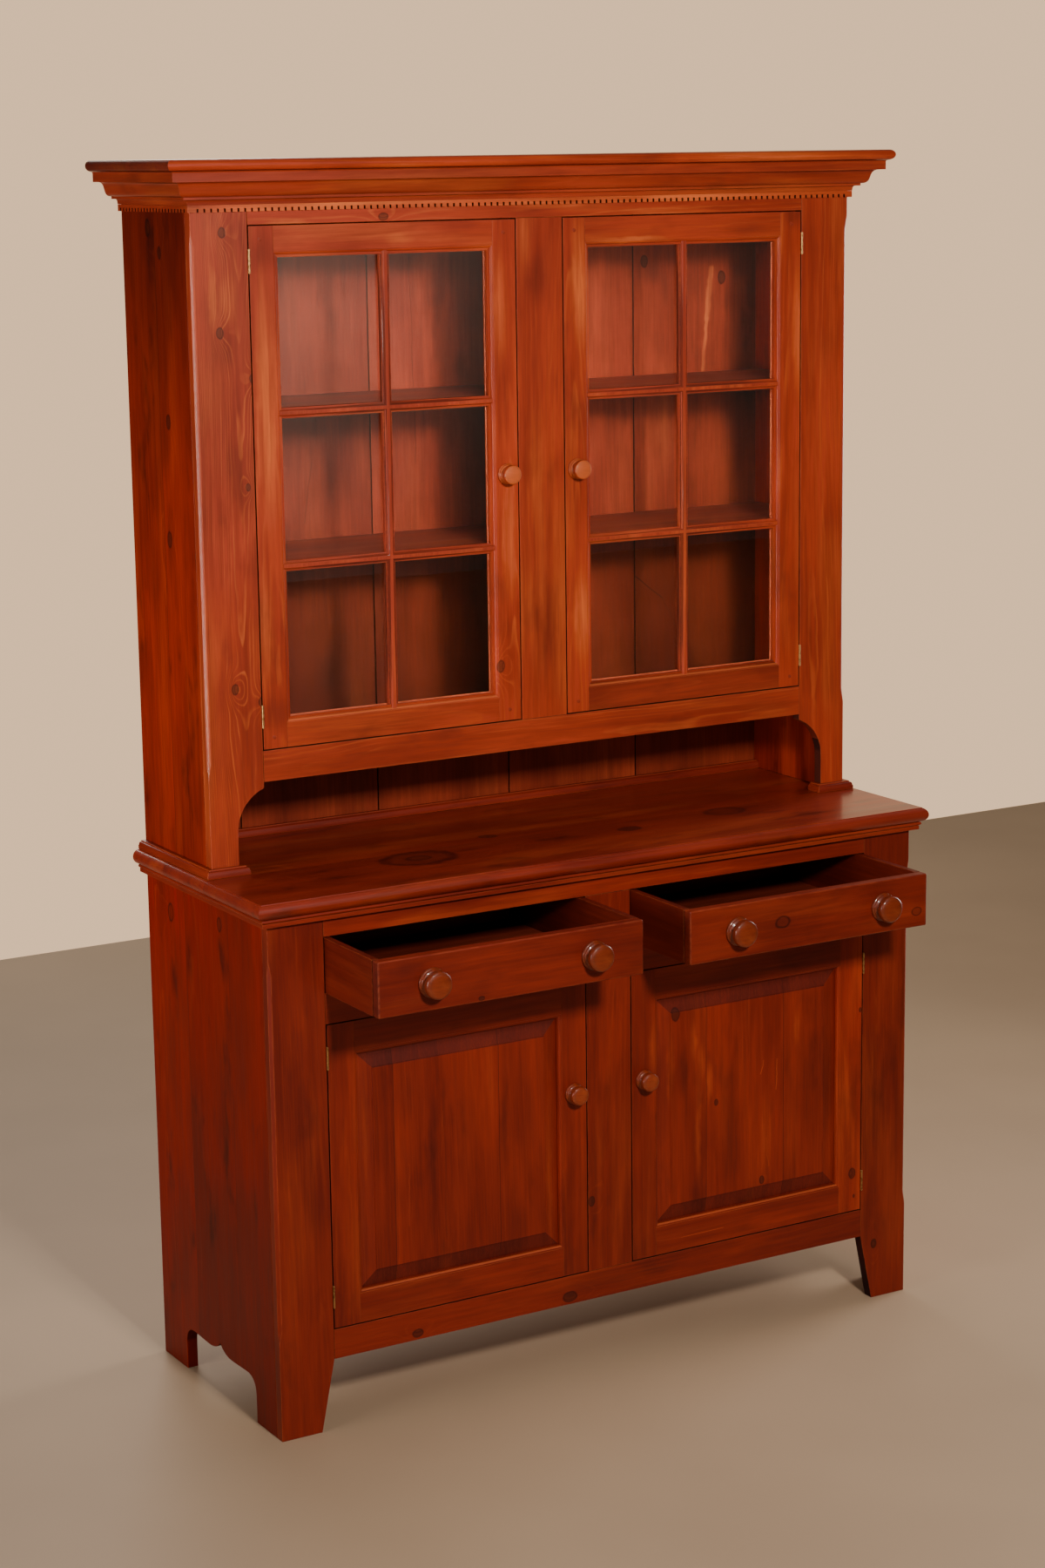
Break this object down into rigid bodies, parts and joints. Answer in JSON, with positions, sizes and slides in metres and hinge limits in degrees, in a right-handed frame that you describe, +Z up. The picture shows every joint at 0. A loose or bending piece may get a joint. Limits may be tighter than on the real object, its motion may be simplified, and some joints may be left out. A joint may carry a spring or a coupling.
{
  "type": "step back cupboard",
  "caption": "Step back cupboard in stained pine: glazed doors over an open recess and counter, with drawers and panelled doors below, the drawers standing open.",
  "frame": {"origin": "centre of the bounding box in X and Y, on the floor, at rest with both drawers pulled out", "axes": "+Z up, the front with its doors and drawers faces -Y, +X to the right as seen from the front"},
  "size_m": [1.418, 0.6874, 2.0945],
  "materials": {
    "pine_frame": "reddish brown stain under satin varnish, knotty pine",
    "pine_side": "reddish brown stain under satin varnish, wide boards",
    "pine_panel": "reddish brown stain under satin varnish, grain upright on the doors and across on the drawers",
    "pine_counter": "reddish brown stain under gloss varnish",
    "pine_inside": "reddish brown stain, thin satin varnish",
    "knob_wood": "lighter turned wood under gloss varnish",
    "glass": "clear window glass",
    "brass": "satin brass"
  },
  "bodies": {
    "case": {"base_side_left": "pine_side", "base_side_right": "pine_side", "base_stile_left": "pine_frame", "base_stile_right": "pine_frame", "base_stile_centre": "pine_frame", "base_top_rail": "pine_frame", "base_bottom_rail": "pine_frame", "drawer_deck": "pine_frame", "base_floor": "pine_inside", "base_shelf": "pine_inside", "base_back": "pine_inside", "countertop": "pine_counter", "counter_moulding": "pine_counter", "upper_side_left": "pine_side", "upper_side_right": "pine_side", "upper_stile_left": "pine_frame", "upper_stile_right": "pine_frame", "upper_stile_centre": "pine_frame", "upper_top_rail": "pine_frame", "upper_bottom_rail": "pine_frame", "upper_floor": "pine_inside", "upper_shelf_lower": "pine_inside", "upper_shelf_upper": "pine_inside", "upper_back": "pine_inside", "foot_moulding_left": "pine_counter", "foot_moulding_right": "pine_counter", "counter_back_strip": "pine_counter", "crown_moulding": "pine_frame", "dentil_strip": "pine_frame", "upper_top": "pine_frame", "upper_left_hinge_bottom": "brass", "upper_left_hinge_top": "brass", "upper_right_hinge_bottom": "brass", "upper_right_hinge_top": "brass", "lower_left_hinge_bottom": "brass", "lower_left_hinge_top": "brass", "lower_right_hinge_bottom": "brass", "lower_right_hinge_top": "brass"},
    "left_drawer": {"left_drawer_front": "pine_panel", "left_drawer_box": "pine_inside", "left_drawer_knob_left": "knob_wood", "left_drawer_knob_right": "knob_wood"},
    "right_drawer": {"right_drawer_front": "pine_panel", "right_drawer_box": "pine_inside", "right_drawer_knob_left": "knob_wood", "right_drawer_knob_right": "knob_wood"},
    "upper_left_door": {"upper_left_door_frame": "pine_frame", "upper_left_door_muntins": "pine_frame", "upper_left_door_glass": "glass", "upper_left_door_knob": "knob_wood"},
    "upper_right_door": {"upper_right_door_frame": "pine_frame", "upper_right_door_muntins": "pine_frame", "upper_right_door_glass": "glass", "upper_right_door_knob": "knob_wood"},
    "lower_left_door": {"lower_left_door_frame": "pine_frame", "lower_left_door_panel": "pine_panel", "lower_left_door_knob": "knob_wood"},
    "lower_right_door": {"lower_right_door_frame": "pine_frame", "lower_right_door_panel": "pine_panel", "lower_right_door_knob": "knob_wood"}
  },
  "joints": [
    {"name": "left_drawer_slide", "type": "slide", "parent": "case", "child": "left_drawer", "axis": [0, -1, 0], "range_m": [-0.185, 0.13]},
    {"name": "right_drawer_slide", "type": "slide", "parent": "case", "child": "right_drawer", "axis": [0, -1, 0], "range_m": [-0.185, 0.13]},
    {"name": "upper_left_door_hinge", "type": "hinge", "parent": "case", "child": "upper_left_door", "pos_m": [-0.5461, 0.07095, 1.56], "axis": [0, 0, -1], "range_deg": [0, 170]},
    {"name": "upper_right_door_hinge", "type": "hinge", "parent": "case", "child": "upper_right_door", "pos_m": [0.5461, 0.07095, 1.56], "axis": [0, 0, 1], "range_deg": [0, 170]},
    {"name": "lower_left_door_hinge", "type": "hinge", "parent": "case", "child": "lower_left_door", "pos_m": [-0.5456, -0.13205, 0.44], "axis": [0, 0, -1], "range_deg": [0, 170]},
    {"name": "lower_right_door_hinge", "type": "hinge", "parent": "case", "child": "lower_right_door", "pos_m": [0.5456, -0.13205, 0.44], "axis": [0, 0, 1], "range_deg": [0, 170]}
  ]
}
